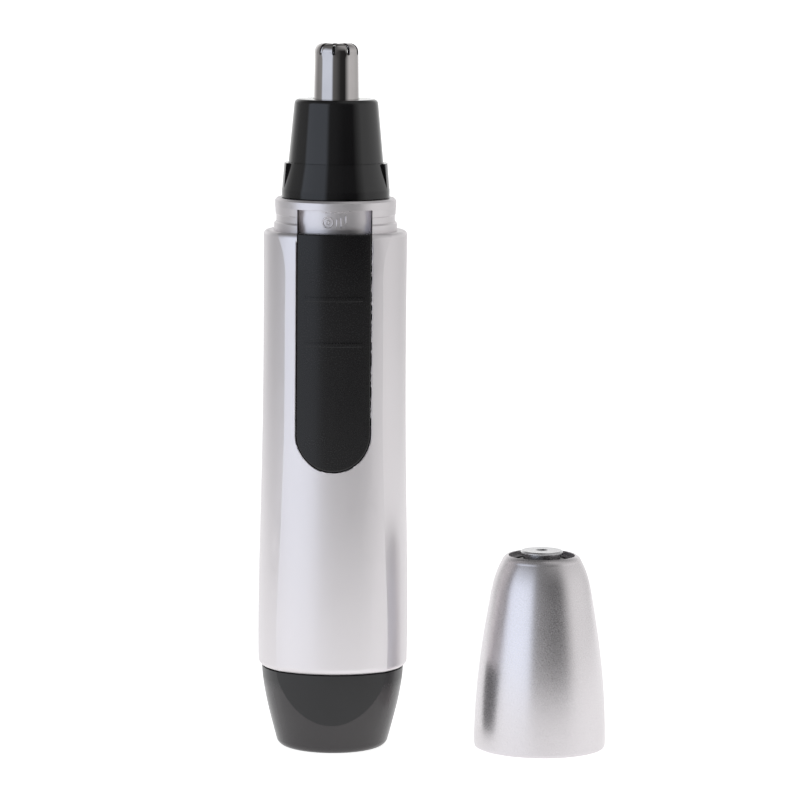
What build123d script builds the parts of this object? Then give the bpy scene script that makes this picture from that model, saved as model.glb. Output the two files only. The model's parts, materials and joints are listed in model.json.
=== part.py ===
from build123d import *
import os

# Battery-powered nose hair trimmer with its loose dust cap.
# Millimetres. Origin: centre of the base that it stands on. +Z up the handle, -Y the switch side.

# ---- Heights of the main joints -------------------------------------------------------------
BATTERY_CAP_TOP = 15.6
SHELL_BOTTOM = 15.9
SHOULDER = 99.9
NECK_TOP = 106.05
HEAD_BOTTOM = 106.25
COLLAR_TOP = 112.8
CONE_TOP = 124.85
CUTTER_TOP = 135.4

# ---- Handle -----------------------------------------------------------------------------------
# Front and back faces are turned about axes set this far behind the handle's own axis.
FACE_AXIS = 3.3
SHELL_BORE = 11.0
CEILING = 98.0
NECK_BORE = 9.1
NECK_RADIUS = 11.6
NECK_RING_RADIUS = 11.75
NECK_GROOVE_RADIUS = 11.35
NECK_RELIEF = 0.04
NECK_DRAFT = 0.08
CAP_SEAT = 101.6
GROOVE_TOP = 102.8

# ---- Switch -----------------------------------------------------------------------------------
SWITCH_GAP = 0.15
SWITCH_HALF_WIDTH = 6.95
SWITCH_BOTTOM = 54.9
SWITCH_TOP = 99.95
SWITCH_TRAVEL = 4.15
WINDOW_TOP = SWITCH_TOP + SWITCH_TRAVEL + 0.2
WINDOW_HALF_WIDTH = SWITCH_HALF_WIDTH + SWITCH_GAP
CHANNEL_WALL = 1.15
LAND_RADIUS = 10.3
TRACK_WIDTH = 0.9
TRACK_TOP = SWITCH_TOP - 0.4
SKIRT_TOP = TRACK_TOP - SWITCH_TRAVEL - 0.2
WINDOW_EDGE = 0.2
COVER_EDGE = 0.3
COVER_WALL = 1.3
TRACK_INNER_Y = 5.0
SKIRT_INNER_Y = 6.85
RIB_HEIGHTS = (79.1, 87.7)
RIB_WIDTH = 11.2
RIB_TALL = 0.66
RIB_PROUD = 0.22
STEM_HALF_WIDTH = 1.45
STEM_BOTTOM = 69.2
STEM_TOP = 75.2
SLOT_GAP = 0.2

# ---- Bayonets (battery cap and cutting head) ----------------------------------------------------
CAP_SPIGOT_RADIUS = 10.9
SEAL_SEAT_RADIUS = 10.0
SEAL_SEAT_BOTTOM = 16.4
SEAL_SEAT_TOP = 17.5
CAP_SPIGOT_TOP = 21.0
CAP_BORE = 8.2
CAP_FLOOR = 2.0
CAP_LUG_RADIUS = 11.8
CAP_LUG_BOTTOM = 18.5
CAP_LUG_TOP = 20.2
CAP_LUG_HALF_ANGLE = 11.0
CAP_TWIST = 35.0
HEAD_SPIGOT_RADIUS = 9.0
HEAD_SPIGOT_BOTTOM = 99.5
HEAD_LUG_RADIUS = 10.15
HEAD_LUG_BOTTOM = 100.3
HEAD_LUG_TOP = 101.6
HEAD_LUG_HALF_ANGLE = 9.0
HEAD_TWIST = 30.0
BAYONET_GAP = 0.15

# ---- Cell and its contacts -------------------------------------------------------------------------
CELL_RADIUS = 7.25
CELL_SLEEVE = 0.2
CELL_BOTTOM = 6.4
CELL_LENGTH = 50.5
CELL_TOP = CELL_BOTTOM + CELL_LENGTH
BUTTON_HEIGHT = 1.4
STRIP = 0.3
STRIP_WIDTH = 2.3

# ---- Motor (round can with two flats) ------------------------------------------------------------------
MOTOR_RADIUS = 7.75
MOTOR_FLAT = 6.05
MOTOR_BOTTOM = 64.0
MOTOR_TOP = 88.6
MOTOR_WALL = 0.5
MOTOR_BOSS_RADIUS = 3.0
MOTOR_BOSS_TOP = 90.2
MOTOR_SHAFT_RADIUS = 0.75
RUNNING_GAP = 0.05
MOTOR_BUSH_RADIUS = 2.2
MOTOR_SHAFT_TOP = 96.0
MAGNET_HALF_ANGLE = 44
MAGNET_BOTTOM = 68.5
MAGNET_TOP = 86.5
POLES = 3
POLE_HALF_ANGLE = 48
BRUSH_X = 5.4
END_CAP_BOTTOM = 62.5
ROTOR_RADIUS = 4.8
ROTOR_BOTTOM = 71.0
ROTOR_TOP = 84.0
COMMUTATOR_RADIUS = 1.6
COMMUTATOR_BOTTOM = 65.6
COMMUTATOR_TOP = 69.0

# ---- Chassis ------------------------------------------------------------------------------------------
CHASSIS_RADIUS = 8.9
CHASSIS_BOTTOM = 22.0
CHASSIS_TOP = 97.6
CHASSIS_BAY = CELL_RADIUS + 0.15
CHASSIS_RING_RADIUS = 10.95
SCREW_X = 9.2
SCREW_HEIGHTS = (30.0, 80.0)
SCREW_RADIUS = 0.8
SCREW_HEAD_RADIUS = 1.2
TERMINAL_X = 4.8
TERMINAL_HALF_WIDTH = 0.8
TERMINAL_HALF_THICK = 0.2
LEG_BOTTOM = 60.6
STRIP_FACE_Y = 7.0

# ---- Cutting head ---------------------------------------------------------------------------------------
COLLAR_RADIUS_LOW = 10.3
COLLAR_RADIUS_HIGH = 9.15
HEAD_SPIGOT_BORE = 7.6
COLLAR_BORE = 7.4
COLLAR_FLOOR_BOTTOM = 106.2
COLLAR_FLOOR_TOP = 108.2
TAB_BOTTOM = 107.2
TAB_TOP = 112.7
TAB_RADIUS_HIGH = 9.85
TAB_HALF_ANGLE = 17.0
CONE_RADIUS_LOW = 9.05
CONE_RADIUS_HIGH = 7.9
CONE_BOTTOM = COLLAR_TOP + 0.05
CONE_SPIGOT_RADIUS = 7.35
CONE_SPIGOT_BOTTOM = 109.4
CONE_BORE = 6.0
CONE_LIP = 122.0
HEAD_BUSH_RADIUS = 2.6
HEAD_BUSH_FLANGE = 3.6
HEAD_BUSH_BOTTOM = 105.4
HEAD_BUSH_TOP = 109.0
CUTTER_RADIUS_LOW = 4.35
CUTTER_RADIUS_HIGH = 4.15
CUTTER_WALL = 0.4
CUTTER_BORE = 3.95
CUTTER_CROWN = 133.8
CUTTER_FLAT = 2.55
CUTTER_FLANGE = 5.8
CUTTER_FLANGE_BOTTOM = 120.8
CUTTER_FLANGE_TOP = 121.9
CUTTER_SLOTS = 9
CUTTER_SLOT_WIDTH = 0.7
CUTTER_SLOT_DEPTH = 2.2
CUTTER_SLOT_TURN = -6.7
BLADE_SHAFT_RADIUS = 1.2
TONGUE_THICK = 0.9
TONGUE_WIDE = 3.6
FORK_RADIUS = 2.8
FORK_BOTTOM = 91.0
FORK_TOP = 99.6
BLADE_BOTTOM = 126.0
BLADE_HUB_TOP = 128.0
BLADE_TOP = 134.88

# ---- Dust cap, which stands beside the handle ---------------------------------------------------------------
DUST_CAP_X = 40.2
DUST_CAP_RADIUS = 12.73
DUST_CAP_WALL = 1.05
DUST_CAP_MOUTH = 11.68
DUST_CAP_MOUTH_DEPTH = 4.8
DUST_CAP_OPENING = 6.4
DUST_CAP_TOP = 37.4
PLUG_BOTTOM = 33.3
PLUG_TOP = 36.5
PLUG_WEB = 35.7
PLUG_RECESS_RADIUS = 5.0
PLUG_GAP = 0.02
BUTTON_TOP = 38.3
BUTTON_DIMPLE = 38.02


def ring_sector(inner, outer, half_angle, bottom, top, middle_angle=0.0):
    """Solid piece of a ring, centred on middle_angle, made on its own for a builder to take."""
    with BuildPart(mode=Mode.PRIVATE) as sector:
        with BuildSketch(Plane.XY.offset(bottom)):
            with BuildLine(Plane.XY):
                start = middle_angle - half_angle
                arc_out = CenterArc((0, 0), outer, start, 2 * half_angle)
                arc_in = CenterArc((0, 0), inner, start, 2 * half_angle)
                Line(arc_out @ 0, arc_in @ 0)
                Line(arc_out @ 1, arc_in @ 1)
            make_face()
        extrude(amount=top - bottom)
    return sector.part


def profile(points, offset=0.0):
    """Closed outline of (radius, height) points in the vertical plane y = offset."""
    with BuildSketch(Plane.XZ.offset(-offset)) as outline:
        with BuildLine():
            Polyline(*points, close=True)
        make_face()
    return outline.sketch


def block(low, high, mode=Mode.ADD):
    """Box between two corners, in the part being built."""
    centre = [(a + b) / 2 for a, b in zip(low, high)]
    size = [b - a for a, b in zip(low, high)]
    with Locations(tuple(centre)):
        Box(*size, mode=mode)


def post(radius, bottom, top, mode=Mode.ADD, at=(0.0, 0.0)):
    """Upright round bar, in the part being built."""
    with Locations((at[0], at[1], (bottom + top) / 2)):
        Cylinder(radius, top - bottom, mode=mode)


def tube_profile(inner, outer, bottom, top):
    """Rectangle that turns into a plain ring."""
    return profile([(inner, bottom), (outer, bottom), (outer, top), (inner, top)])


def tongue(half_width, bottom, top, front):
    """Switch outline: straight sides, half-round lower end, on the plane y = -front."""
    with BuildSketch(Plane.XZ.offset(front)) as outline:
        with BuildLine():
            centre = bottom + half_width
            Polyline((-half_width, centre), (-half_width, top), (half_width, top), (half_width, centre))
            CenterArc((0, centre), half_width, 180, 180)
        make_face()
    return outline.sketch


# Depth from the long axis, and height, along the middle of the front and back faces.
FACE_DEPTHS = (
    (13.46, 17.0),
    (13.52, 28.0),
    (13.35, 43.6),
    (13.21, 51.0),
    (13.08, 60.0),
    (12.97, 70.0),
    (12.94, 79.0),
    (12.96, 88.0),
    (12.92, 95.6),
    (12.74, 98.8),
)

# Radius and height along the silver barrel's side.
BARREL_RADII = (
    (14.35, 16.9),
    (14.40, 20.5),
    (14.25, 38.0),
    (13.95, 52.0),
    (13.71, 68.0),
    (13.67, 84.0),
    (13.72, 99.0),
)


def barrel_outline():
    """Half section of the silver barrel, with eased rim and shoulder."""
    with BuildSketch(Plane.XZ) as outline:
        with BuildLine():
            side = Spline(*BARREL_RADII)
            rim = ThreePointArc((13.7, SHELL_BOTTOM), (14.12, 16.25), side @ 0)
            shoulder = ThreePointArc(side @ 1, (13.5, SHOULDER - 0.25), (13.05, SHOULDER))
            Polyline(rim @ 0, (0, SHELL_BOTTOM), (0, SHOULDER), shoulder @ 1)
        make_face()
    return outline.sketch


def face_outline(side):
    """Half section of the front (side -1) or back (side 1) face, about its own upright axis."""
    with BuildSketch(Plane.XZ.offset(side * FACE_AXIS)) as outline:
        with BuildLine():
            wall = Spline(*[(depth + FACE_AXIS, height) for depth, height in FACE_DEPTHS])
            rim = ThreePointArc((12.82 + FACE_AXIS, SHELL_BOTTOM), (13.25 + FACE_AXIS, 16.3), wall @ 0)
            shoulder = ThreePointArc(wall @ 1, (12.48 + FACE_AXIS, SHOULDER - 0.32), (12.1 + FACE_AXIS, SHOULDER))
            Polyline(rim @ 0, (0, SHELL_BOTTOM), (0, SHOULDER), shoulder @ 1)
        make_face()
    return outline.sketch


def face_axis(side):
    """Upright axis that the front (side -1) or back (side 1) face is turned about."""
    return Axis((0, -side * FACE_AXIS, 0), (0, 0, 1))


# ==== Handle ===================================================================================

# Room inside the barrel: a round bore, less the block that carries the switch channel.
with BuildPart() as channel_block:
    block_bottom = SWITCH_BOTTOM - SWITCH_GAP - CHANNEL_WALL
    extrude(tongue(WINDOW_HALF_WIDTH + CHANNEL_WALL, block_bottom, CEILING + 1, 4), amount=10)
    post(NECK_BORE, 0, SHOULDER, Mode.SUBTRACT)

with BuildPart() as barrel_room:
    post(SHELL_BORE, SHELL_BOTTOM - 1, CEILING)
    add(channel_block.part, mode=Mode.SUBTRACT)

# Body shell: barrel trimmed by its two faces, hollow from below, with the neck and switch channel.
with BuildPart() as body_shell:
    revolve(barrel_outline(), axis=Axis.Z)
    for side in (-1, 1):
        revolve(face_outline(side), axis=face_axis(side), mode=Mode.INTERSECT)
    neck = [
        (NECK_BORE, CEILING),
        (NECK_RING_RADIUS + NECK_DRAFT, CEILING),
        (NECK_RING_RADIUS, CAP_SEAT - 0.3),
        (NECK_RING_RADIUS - 0.3, CAP_SEAT),
        (NECK_GROOVE_RADIUS, CAP_SEAT),
        (NECK_GROOVE_RADIUS, GROOVE_TOP),
        (NECK_RADIUS - NECK_RELIEF - NECK_DRAFT, GROOVE_TOP + 0.15),
        (NECK_RADIUS - NECK_RELIEF, WINDOW_TOP + 0.03),
        (NECK_RADIUS, WINDOW_TOP + 0.06),
        (NECK_RADIUS, NECK_TOP - 0.4),
        (NECK_RADIUS - 0.4, NECK_TOP),
        (NECK_BORE, NECK_TOP),
    ]
    revolve(profile(neck), axis=Axis.Z)
    add(barrel_room.part, mode=Mode.SUBTRACT)
    post(NECK_BORE, CEILING - 1, NECK_TOP + 1, Mode.SUBTRACT)
    # Window over the land, then the two tracks behind the cover for its skirts.
    window = tongue(WINDOW_HALF_WIDTH, SWITCH_BOTTOM - SWITCH_GAP, WINDOW_TOP, 4)
    with BuildPart(mode=Mode.PRIVATE) as window_cut:
        extrude(window, amount=12)
        post(LAND_RADIUS, 0, CUTTER_TOP, Mode.SUBTRACT)
    add(window_cut.part, mode=Mode.SUBTRACT)
    for side in (-1, 1):
        edges = sorted((side * WINDOW_HALF_WIDTH, side * (WINDOW_HALF_WIDTH - TRACK_WIDTH)))
        block((edges[0], -12.5, SWITCH_BOTTOM + 8), (edges[1], -TRACK_INNER_Y, TRACK_TOP), Mode.SUBTRACT)
    # The window's outer edge is eased.
    fillet([
        edge for edge in body_shell.edges().filter_by(GeomType.BSPLINE)
        if edge.bounding_box().min.Z > SWITCH_BOTTOM - 1 and edge.bounding_box().max.Z < CEILING + 1
        and abs(edge.center().X) < WINDOW_HALF_WIDTH + 0.01 and edge.center().Y < -LAND_RADIUS
    ], WINDOW_EDGE)
    # Slot for the stem that joins the cover to the inner slider.
    block(
        (-STEM_HALF_WIDTH - SLOT_GAP, -12, STEM_BOTTOM - SLOT_GAP),
        (STEM_HALF_WIDTH + SLOT_GAP, -7, STEM_TOP + SWITCH_TRAVEL + SLOT_GAP),
        Mode.SUBTRACT,
    )
    # Bayonet tracks: a turn-in groove and an upright entry at each side, for each twist joint.
    for side_angle in (0, 180):
        sweep_half = CAP_TWIST / 2
        wide = CAP_LUG_HALF_ANGLE + 1
        reach = CAP_LUG_RADIUS + BAYONET_GAP
        groove = ring_sector(SHELL_BORE - 1, reach, wide + sweep_half, CAP_LUG_BOTTOM - BAYONET_GAP,
                             CAP_LUG_TOP + BAYONET_GAP, side_angle + sweep_half)
        entry = ring_sector(SHELL_BORE - 1, reach, wide, SHELL_BOTTOM - 1, CAP_LUG_TOP,
                            side_angle + CAP_TWIST)
        add(groove, mode=Mode.SUBTRACT)
        add(entry, mode=Mode.SUBTRACT)
        sweep_half = HEAD_TWIST / 2
        wide = HEAD_LUG_HALF_ANGLE + 1
        reach = HEAD_LUG_RADIUS + BAYONET_GAP
        groove = ring_sector(NECK_BORE - 1, reach, wide + sweep_half, HEAD_LUG_BOTTOM - BAYONET_GAP,
                             HEAD_LUG_TOP + BAYONET_GAP, side_angle + sweep_half)
        entry = ring_sector(NECK_BORE - 1, reach, wide, HEAD_LUG_BOTTOM, NECK_TOP + 1,
                            side_angle + HEAD_TWIST)
        add(groove, mode=Mode.SUBTRACT)
        add(entry, mode=Mode.SUBTRACT)


def chassis_half(side):
    """Front (side -1) or rear (side 1) half of the carrier that holds the cell and the motor."""
    with BuildPart() as half:
        post(CHASSIS_RADIUS, CHASSIS_BOTTOM, CHASSIS_TOP)
        for low, high in ((CHASSIS_BOTTOM, CHASSIS_BOTTOM + 2), (50.0, 52.0)):
            post(CHASSIS_RING_RADIUS, low, high)
        for ear_side in (-1, 1):
            for height in SCREW_HEIGHTS:
                low_x, high_x = sorted((ear_side * 7.9, ear_side * 10.4))
                block((low_x, -2.6, height - 2.5), (high_x, 2.6, height + 2.5))
        post(CHASSIS_BAY, CHASSIS_BOTTOM - 1, CELL_TOP + 0.6, Mode.SUBTRACT)
        post(7.0, 59.2, END_CAP_BOTTOM, Mode.SUBTRACT)
        post(4.0, 57.0, 60.0, Mode.SUBTRACT)
        motor_space = MOTOR_RADIUS + 0.1
        with BuildPart(mode=Mode.PRIVATE) as pocket:
            post(motor_space, END_CAP_BOTTOM - 0.1, MOTOR_TOP)
            block((-9, -MOTOR_FLAT - 0.05, 0), (9, MOTOR_FLAT + 0.05, 120), Mode.INTERSECT)
        add(pocket.part, mode=Mode.SUBTRACT)
        post(MOTOR_BOSS_RADIUS + 0.1, MOTOR_TOP - 1, MOTOR_BOSS_TOP + 0.3, Mode.SUBTRACT)
        post(6.0, MOTOR_BOSS_TOP, CHASSIS_TOP + 1, Mode.SUBTRACT)
        for ear_side in (-1, 1):
            for height in SCREW_HEIGHTS:
                with Locations(Plane((ear_side * SCREW_X, 0, height), z_dir=(0, 1, 0))):
                    Cylinder(SCREW_RADIUS, 5.0, mode=Mode.SUBTRACT)
                with Locations(Plane((ear_side * SCREW_X, -2.1, height), z_dir=(0, 1, 0))):
                    Cylinder(SCREW_HEAD_RADIUS + 0.1, 1.1, mode=Mode.SUBTRACT)
        # Recess for the slider and its strips (front), slot for the negative strip's leg (rear).
        block((-4.6, -12, LEG_BOTTOM - 4.0), (4.6, STRIP - STRIP_FACE_Y, 84), Mode.SUBTRACT)
        block((3.0, -12, LEG_BOTTOM - 0.2), (4.6, -4, LEG_BOTTOM + 0.5), Mode.SUBTRACT)
        block((-2.0, 3.0, LEG_BOTTOM - 0.2), (2.0, 12, LEG_BOTTOM + 0.5), Mode.SUBTRACT)
        block((-1.7, CHASSIS_RADIUS - 0.05, CHASSIS_BOTTOM - 1), (1.7, 12, LEG_BOTTOM + 0.5), Mode.SUBTRACT)
        keep = 12 * side
        block((-12, min(0, keep), 0), (12, max(0, keep), 120), Mode.INTERSECT)
    return half.part


with BuildPart() as chassis_front:
    add(chassis_half(-1))

with BuildPart() as chassis_rear:
    add(chassis_half(1))

with BuildPart() as chassis_screws:
    for ear_side in (-1, 1):
        for height in SCREW_HEIGHTS:
            with Locations(Plane((ear_side * SCREW_X, 0.35, height), z_dir=(0, 1, 0))):
                Cylinder(SCREW_RADIUS, 4.0)
            with Locations(Plane((ear_side * SCREW_X, -2.05, height), z_dir=(0, 1, 0))):
                Cylinder(SCREW_HEAD_RADIUS, 0.8)
            slot_low = (ear_side * SCREW_X - 0.9, -2.5, height - 0.15)
            block(slot_low, (ear_side * SCREW_X + 0.9, -2.2, height + 0.15), Mode.SUBTRACT)

# ==== Cell and contact strips =================================================================

with BuildPart() as battery_cell:
    can_radius = CELL_RADIUS - CELL_SLEEVE
    post(can_radius, CELL_BOTTOM, CELL_TOP - BUTTON_HEIGHT)
    fillet(battery_cell.edges().filter_by(GeomType.CIRCLE), 0.5)
    post(2.7, CELL_TOP - BUTTON_HEIGHT - 0.5, CELL_TOP)

with BuildPart() as cell_sleeve:
    wrap_ends = (CELL_BOTTOM + 0.6, CELL_TOP - BUTTON_HEIGHT - 0.6)
    wrap = tube_profile(CELL_RADIUS - CELL_SLEEVE, CELL_RADIUS, *wrap_ends)
    revolve(wrap, axis=Axis.Z)

with BuildPart() as positive_strip:
    block((-3.2, -STRIP_FACE_Y, CELL_TOP + 0.05), (3.2, 3.0, CELL_TOP + 0.05 + STRIP))
    block((-3.2, -STRIP_FACE_Y, CELL_TOP + 0.05), (-3.2 + STRIP_WIDTH, STRIP - STRIP_FACE_Y, 77))

with BuildPart() as motor_strip:
    block((0.9, -STRIP_FACE_Y, 71.4), (4.4, STRIP - STRIP_FACE_Y, 77))
    block((3.2, -STRIP_FACE_Y, LEG_BOTTOM), (4.4, STRIP - STRIP_FACE_Y, 77))
    block((3.2, -STRIP_FACE_Y, LEG_BOTTOM), (4.4, -TERMINAL_HALF_THICK, LEG_BOTTOM + STRIP))
    block((3.2, -3.5, LEG_BOTTOM), (5.4, -TERMINAL_HALF_THICK, LEG_BOTTOM + STRIP))

with BuildPart() as negative_strip:
    foot = CAP_SPIGOT_TOP + STRIP + 0.05
    block((-1.5, CHASSIS_RADIUS, foot), (1.5, CHASSIS_RADIUS + STRIP, LEG_BOTTOM + STRIP))
    block((-1.5, 8.4, foot), (1.5, CHASSIS_RADIUS + STRIP, foot + STRIP))
    block((-1.5, TERMINAL_HALF_THICK, LEG_BOTTOM), (1.5, CHASSIS_RADIUS + STRIP, LEG_BOTTOM + STRIP))
    block((-5.4, TERMINAL_HALF_THICK, LEG_BOTTOM), (1.5, 3.0, LEG_BOTTOM + STRIP))

# ==== Motor =====================================================================================


def flatted(radius, flat, bottom, top):
    """Round bar with two flats that face front and back."""
    with BuildPart(mode=Mode.PRIVATE) as bar:
        post(radius, bottom, top)
        block((-radius, -flat, bottom), (radius, flat, top), Mode.INTERSECT)
    return bar.part


with BuildPart() as motor_can:
    add(flatted(MOTOR_RADIUS, MOTOR_FLAT, MOTOR_BOTTOM, MOTOR_TOP))
    post(MOTOR_BOSS_RADIUS, MOTOR_TOP, MOTOR_BOSS_TOP)
    add(flatted(MOTOR_RADIUS - MOTOR_WALL, MOTOR_FLAT - MOTOR_WALL, MOTOR_BOTTOM, MOTOR_TOP - MOTOR_WALL),
        mode=Mode.SUBTRACT)
    post(MOTOR_BUSH_RADIUS, MOTOR_TOP - 1, MOTOR_BOSS_TOP, Mode.SUBTRACT)

with BuildPart() as motor_end_cap:
    add(flatted(MOTOR_RADIUS, MOTOR_FLAT, END_CAP_BOTTOM, MOTOR_BOTTOM))
    add(flatted(MOTOR_RADIUS - MOTOR_WALL, MOTOR_FLAT - MOTOR_WALL, MOTOR_BOTTOM, MOTOR_BOTTOM + 1.0))
    post(MOTOR_BUSH_RADIUS, END_CAP_BOTTOM + 0.4, MOTOR_BOTTOM + 1.5, Mode.SUBTRACT)
    post(MOTOR_SHAFT_RADIUS + 0.3, END_CAP_BOTTOM - 1, MOTOR_BOTTOM, Mode.SUBTRACT)
    for side in (-1, 1):
        low_x = side * TERMINAL_X - TERMINAL_HALF_WIDTH
        high_x = side * TERMINAL_X + TERMINAL_HALF_WIDTH
        block((low_x, -TERMINAL_HALF_THICK, 60), (high_x, TERMINAL_HALF_THICK, 70), Mode.SUBTRACT)

with BuildPart() as motor_terminals:
    for side in (-1, 1):
        low_x = side * TERMINAL_X - TERMINAL_HALF_WIDTH
        high_x = side * TERMINAL_X + TERMINAL_HALF_WIDTH
        low_corner = (low_x, -TERMINAL_HALF_THICK, LEG_BOTTOM - 0.6)
        block(low_corner, (high_x, TERMINAL_HALF_THICK, MOTOR_BOTTOM + 1.0))

with BuildPart() as motor_brushes:
    for side in (-1, 1):
        low_x, high_x = sorted((side * (COMMUTATOR_RADIUS + RUNNING_GAP), side * BRUSH_X))
        block((low_x, -0.6, MOTOR_BOTTOM + 2.4), (high_x, 0.6, MOTOR_BOTTOM + 2.6))
        low_x, high_x = sorted((side * (BRUSH_X - 0.2), side * BRUSH_X))
        block((low_x, -0.6, MOTOR_BOTTOM + 1.0), (high_x, 0.6, MOTOR_BOTTOM + 2.6))

with BuildPart() as motor_bushes:
    for low, high in ((END_CAP_BOTTOM + 0.4, MOTOR_BOTTOM + 1.0), (MOTOR_TOP - MOTOR_WALL, MOTOR_BOSS_TOP)):
        revolve(tube_profile(MOTOR_SHAFT_RADIUS + RUNNING_GAP, MOTOR_BUSH_RADIUS, low, high), axis=Axis.Z)

with BuildPart() as motor_magnets:
    for middle_angle in (0, 180):
        add(ring_sector(ROTOR_RADIUS + 0.35, MOTOR_RADIUS - MOTOR_WALL, MAGNET_HALF_ANGLE, MAGNET_BOTTOM,
                        MAGNET_TOP, middle_angle))

with BuildPart() as motor_shaft:
    post(MOTOR_SHAFT_RADIUS, END_CAP_BOTTOM + 0.5, MOTOR_SHAFT_TOP)

with BuildPart() as armature_core:
    for index in range(POLES):
        pole_angle = 90 + 360 / POLES * index
        add(ring_sector(ROTOR_RADIUS - 0.9, ROTOR_RADIUS, POLE_HALF_ANGLE, ROTOR_BOTTOM, ROTOR_TOP, pole_angle))
        with Locations(Location((0, 0, (ROTOR_BOTTOM + ROTOR_TOP) / 2), (0, 0, pole_angle))):
            arm_size = (ROTOR_RADIUS - 0.3, 1.6, ROTOR_TOP - ROTOR_BOTTOM)
            Box(*arm_size, align=(Align.MIN, Align.CENTER, Align.CENTER))
    post(1.7, ROTOR_BOTTOM, ROTOR_TOP)
    post(MOTOR_SHAFT_RADIUS, ROTOR_BOTTOM - 1, ROTOR_TOP + 1, Mode.SUBTRACT)

with BuildPart() as armature_windings:
    for index in range(POLES):
        with Locations(Location((0, 0, (ROTOR_BOTTOM + ROTOR_TOP) / 2), (0, 0, 90 + 360 / POLES * index))):
            with Locations((2.6, 0, 0)):
                Box(1.6, 3.2, ROTOR_TOP - ROTOR_BOTTOM + 1.6)
                Box(1.6, 1.6, ROTOR_TOP - ROTOR_BOTTOM, mode=Mode.SUBTRACT)

with BuildPart() as commutator:
    post(COMMUTATOR_RADIUS, COMMUTATOR_BOTTOM, COMMUTATOR_TOP)
    post(MOTOR_SHAFT_RADIUS, COMMUTATOR_BOTTOM - 1, COMMUTATOR_TOP + 1, Mode.SUBTRACT)
    for index in range(POLES):
        with Locations(Location((0, 0, COMMUTATOR_TOP - 1.5), (0, 0, 360 / POLES * index))):
            Box(2.5, 0.2, 3.0, align=(Align.MIN, Align.CENTER, Align.CENTER), mode=Mode.SUBTRACT)

with BuildPart() as drive_fork:
    post(FORK_RADIUS, FORK_BOTTOM, FORK_TOP)
    post(MOTOR_SHAFT_RADIUS, FORK_BOTTOM - 1, MOTOR_SHAFT_TOP, Mode.SUBTRACT)
    slot_half = TONGUE_THICK / 2 + 0.1
    block((-5, -slot_half, MOTOR_SHAFT_TOP + 0.2), (5, slot_half, FORK_TOP + 1), Mode.SUBTRACT)

# ==== Switch =====================================================================================

# Depth from the long axis, and height, along the middle of the cover's skin.
COVER_DEPTHS = (
    (13.36, SWITCH_BOTTOM - 1),
    (13.27, 60.0),
    (13.15, 70.0),
    (13.10, 80.0),
    (13.12, 91.0),
    (12.98, 96.5),
    (12.62, SWITCH_TOP + 0.1),
)

with BuildPart() as switch_cover:
    extrude(tongue(SWITCH_HALF_WIDTH, SWITCH_BOTTOM, SWITCH_TOP, 4), amount=12)
    with BuildSketch(Plane.XZ.offset(-FACE_AXIS)) as skin:
        with BuildLine():
            wall = Spline(*[(depth + FACE_AXIS, height) for depth, height in COVER_DEPTHS])
            Polyline(wall @ 0, (0, SWITCH_BOTTOM - 1), (0, SWITCH_TOP + 0.1), wall @ 1)
        make_face()
    revolve(skin.sketch, axis=face_axis(-1), mode=Mode.INTERSECT)
    post(LAND_RADIUS + SWITCH_GAP, 0, CUTTER_TOP, Mode.SUBTRACT)
    hollow = tongue(SWITCH_HALF_WIDTH - COVER_WALL, SWITCH_BOTTOM + COVER_WALL, SWITCH_TOP - COVER_WALL, 4)
    extrude(hollow, amount=7.6, mode=Mode.SUBTRACT)
    for side in (-1, 1):
        low_x, high_x = sorted((side * (SWITCH_HALF_WIDTH - 0.6), side * SWITCH_HALF_WIDTH))
        block((low_x, -10.0, SWITCH_BOTTOM + 9), (high_x, -SKIRT_INNER_Y, SKIRT_TOP))
    for height in RIB_HEIGHTS:
        with BuildPart(mode=Mode.PRIVATE) as rib:
            block((-RIB_WIDTH / 2, -15, height - RIB_TALL / 2), (RIB_WIDTH / 2, -11.9, height + RIB_TALL / 2))
            with Locations((0, FACE_AXIS, height)):
                Cylinder(13.1 + FACE_AXIS + RIB_PROUD, 2, mode=Mode.INTERSECT)
        add(rib.part)
    # Two ribs under the cover hold the slider's stem.
    block((-STEM_HALF_WIDTH - 0.9, -12.5, STEM_BOTTOM), (-STEM_HALF_WIDTH, -LAND_RADIUS - 0.3, STEM_TOP))
    block((STEM_HALF_WIDTH, -12.5, STEM_BOTTOM), (STEM_HALF_WIDTH + 0.9, -LAND_RADIUS - 0.3, STEM_TOP))
    # The cover's outer edge is eased all round.
    fillet([
        edge for edge in switch_cover.edges().filter_by(GeomType.BSPLINE)
        if edge.bounding_box().max.Y < -LAND_RADIUS and edge.bounding_box().size.X
        + edge.bounding_box().size.Z > 2 * SWITCH_HALF_WIDTH
        and abs(abs(edge.center().X) - SWITCH_HALF_WIDTH / 2) > SWITCH_HALF_WIDTH / 2 - 0.1
    ], COVER_EDGE)

with BuildPart() as switch_slider:
    block((-3.4, -8.3, 66.2), (3.4, -7.45, 78.2))
    block((-STEM_HALF_WIDTH, -11.6, STEM_BOTTOM), (STEM_HALF_WIDTH, -8.0, STEM_TOP))

with BuildPart() as switch_leaf:
    block((-3.1, -7.45, 66.6), (3.1, -7.2, 70.6))
    block((-3.1, -7.45, 66.6), (3.1, -7.05, 67.4))

# ==== Cutting head ================================================================================

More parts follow.
